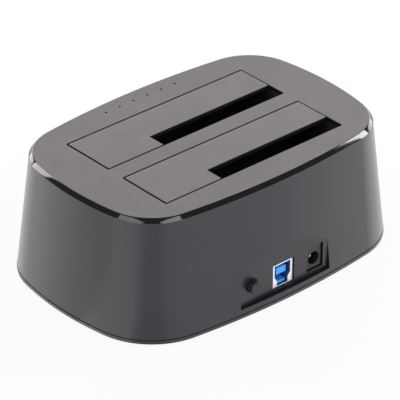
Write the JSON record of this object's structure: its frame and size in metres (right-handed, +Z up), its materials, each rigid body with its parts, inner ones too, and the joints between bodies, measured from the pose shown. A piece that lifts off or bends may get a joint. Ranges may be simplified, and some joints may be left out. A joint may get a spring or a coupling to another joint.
{
  "type": "hard drive docking station",
  "caption": "Desktop dock with a bowed, drafted housing, sprung L-shaped flaps over two upright drive wells, and a sunk panel with power button, USB port and power jack.",
  "frame": {"origin": "middle of the footprint, on the surface that the feet stand on", "axes": "+X along the length, to the right seen from the port side; +Y from the ports towards the status lights; +Z up"},
  "size_m": [0.1642, 0.114, 0.0598],
  "materials": {
    "housing": "black satin moulded plastic, polished on the top chamfer",
    "flap": "black satin moulded plastic",
    "rubber": "matte black rubber",
    "screw_steel": "zinc plated steel",
    "cradle": "black moulded plastic",
    "pin_steel": "drawn steel",
    "spring_steel": "spring wire",
    "circuit_board": "green solder mask",
    "connector_black": "black glass-filled nylon",
    "contact_gold": "gold plated contacts",
    "chip_resin": "moulded chip resin",
    "can_metal": "drawn metal can",
    "ferrite": "ferrite",
    "port_metal": "nickel plated sheet",
    "port_blue": "blue moulded insulator",
    "pale_plastic": "natural nylon",
    "led_lens": "cast lens",
    "light_guide": "clear moulded guide",
    "ribbon": "flat ribbon lead"
  },
  "bodies": {
    "dock": {"upper_housing": "housing", "base_plate": "housing", "foot_front_left": "rubber", "foot_front_right": "rubber", "foot_rear_left": "rubber", "foot_rear_right": "rubber", "base_screws": "screw_steel", "cradle_screws": "screw_steel", "board_screws": "screw_steel", "light_board_screws": "screw_steel", "front_cradle": "cradle", "rear_cradle": "cradle", "front_hinge_pin": "pin_steel", "rear_hinge_pin": "pin_steel", "dc_jack_pin": "pin_steel", "front_flap_spring": "spring_steel", "rear_flap_spring": "spring_steel", "dc_jack_contact": "spring_steel", "main_board": "circuit_board", "light_board": "circuit_board", "front_sata_connector": "connector_black", "rear_sata_connector": "connector_black", "dc_jack_body": "connector_black", "switch_body": "connector_black", "front_sata_contacts": "contact_gold", "rear_sata_contacts": "contact_gold", "usb_contacts": "contact_gold", "bridge_chip": "chip_resin", "firmware_chip": "chip_resin", "crystal": "can_metal", "capacitors": "can_metal", "power_inductors": "ferrite", "usb_shell": "port_metal", "usb_insulator": "port_blue", "ribbon_sockets": "pale_plastic", "status_leds": "led_lens", "light_guide": "light_guide", "light_ribbon": "ribbon"},
    "front_flap": {"front_flap": "flap"},
    "rear_flap": {"rear_flap": "flap"},
    "power_button": {"power_button": "flap", "switch_plunger": "pale_plastic"}
  },
  "joints": [
    {"name": "front_flap_hinge", "type": "hinge", "parent": "dock", "child": "front_flap", "pos_m": [0, 0.03675, 0.0553], "axis": [1, 0, 0], "range_deg": [0, 90], "stiffness_Nm_per_rad": 0.004, "springref_deg": -34.38, "deforming": ["front_flap_spring"]},
    {"name": "rear_flap_hinge", "type": "hinge", "parent": "dock", "child": "rear_flap", "pos_m": [0, -0.00125, 0.0553], "axis": [1, 0, 0], "range_deg": [0, 90], "stiffness_Nm_per_rad": 0.004, "springref_deg": -34.38, "deforming": ["rear_flap_spring"]},
    {"name": "power_button_press", "type": "slide", "parent": "dock", "child": "power_button", "axis": [0, 1, 0], "range_m": [0, 0.0015], "stiffness_N_per_m": 600, "springref_m": -0.0015}
  ]
}
